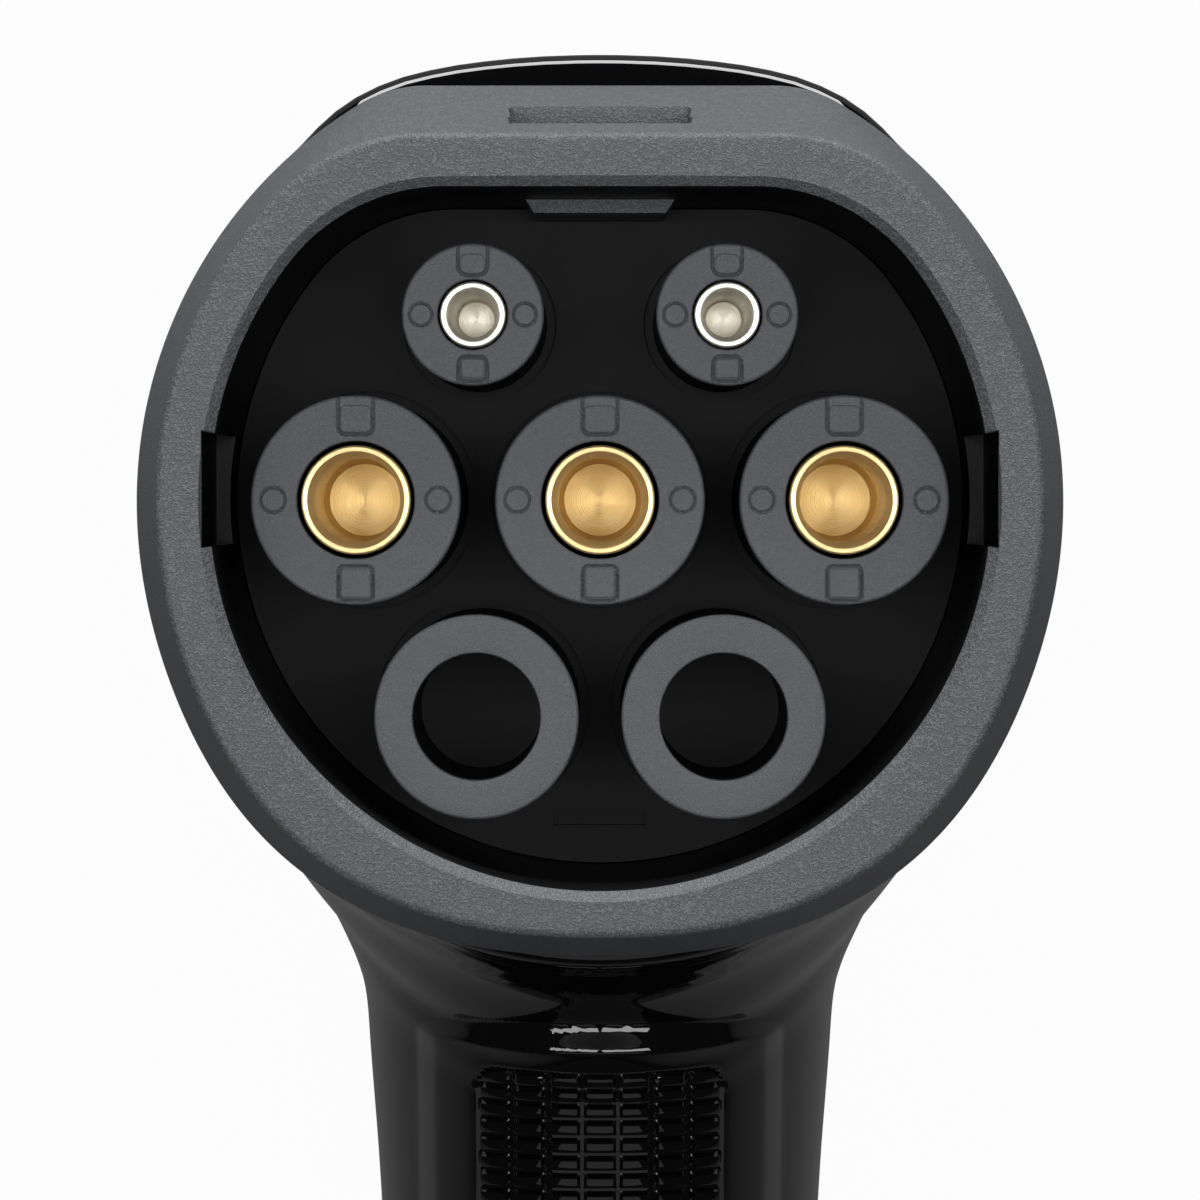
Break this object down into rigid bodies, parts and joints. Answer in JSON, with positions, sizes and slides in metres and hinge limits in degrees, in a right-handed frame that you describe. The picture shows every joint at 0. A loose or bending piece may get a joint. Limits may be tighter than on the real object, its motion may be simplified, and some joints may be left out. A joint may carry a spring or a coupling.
{
  "type": "ev charging plug",
  "caption": "Pistol-shaped AC vehicle charging plug with a D-shaped mating face, socket contacts, grey nose bumper, glossy black handle and cable gland.",
  "frame": {"origin": "centre of the earth socket's mouth, on the plane of the contact caps' faces", "axes": "+Z out of the mating face, +Y to the flat side of the D, -Y to the handle, +X to the neutral socket; the plug lies on its back"},
  "size_m": [0.0672, 0.1729, 0.1052],
  "materials": {
    "charcoal_bumper": "fine moulded grain, matte",
    "black_liner": "smooth, low sheen",
    "black_rubber": "moulded rubber",
    "zinc_screw": "zinc plated",
    "resistor_body": "lacquered",
    "gloss_black": "polished, high gloss",
    "gloss_black_pad": "polished blocks in a brick grid",
    "grey_claw": "natural nylon, dark",
    "satin_black_nut": "moulded nylon, satin",
    "brass": "turned, bright",
    "nickel": "turned, pale nickel over brass",
    "charcoal_cap": "fine moulded grain, matte"
  },
  "bodies": {
    "root": {"blank_ring_l2": "charcoal_cap", "blank_ring_l3": "charcoal_cap", "cable_clamp": "black_liner", "cable_seal": "black_rubber", "carrier_floor": "black_liner", "clamp_screws": "zinc_screw", "collar_ring": "gloss_black", "contact_cap_cp": "charcoal_cap", "contact_cap_l1": "charcoal_cap", "contact_cap_n": "charcoal_cap", "contact_cap_pe": "charcoal_cap", "contact_cap_pp": "charcoal_cap", "contact_retainer": "black_liner", "front_housing": "gloss_black", "gland_body": "black_liner", "gland_claw": "grey_claw", "gland_nut": "satin_black_nut", "grip_pad": "gloss_black_pad", "housing_screws": "zinc_screw", "nose_bumper": "charcoal_bumper", "nose_gasket": "black_rubber", "nose_liner": "black_liner", "power_contact_l1": "brass", "power_contact_n": "brass", "power_contact_pe": "brass", "proximity_resistor": "resistor_body", "rear_housing": "gloss_black", "retainer_screws": "zinc_screw", "signal_contact_cp": "nickel", "signal_contact_pp": "nickel", "sleeve_cp": "black_liner", "sleeve_l1": "black_liner", "sleeve_l2": "black_liner", "sleeve_l3": "black_liner", "sleeve_n": "black_liner", "sleeve_pe": "black_liner", "sleeve_pp": "black_liner"}
  },
  "joints": []
}
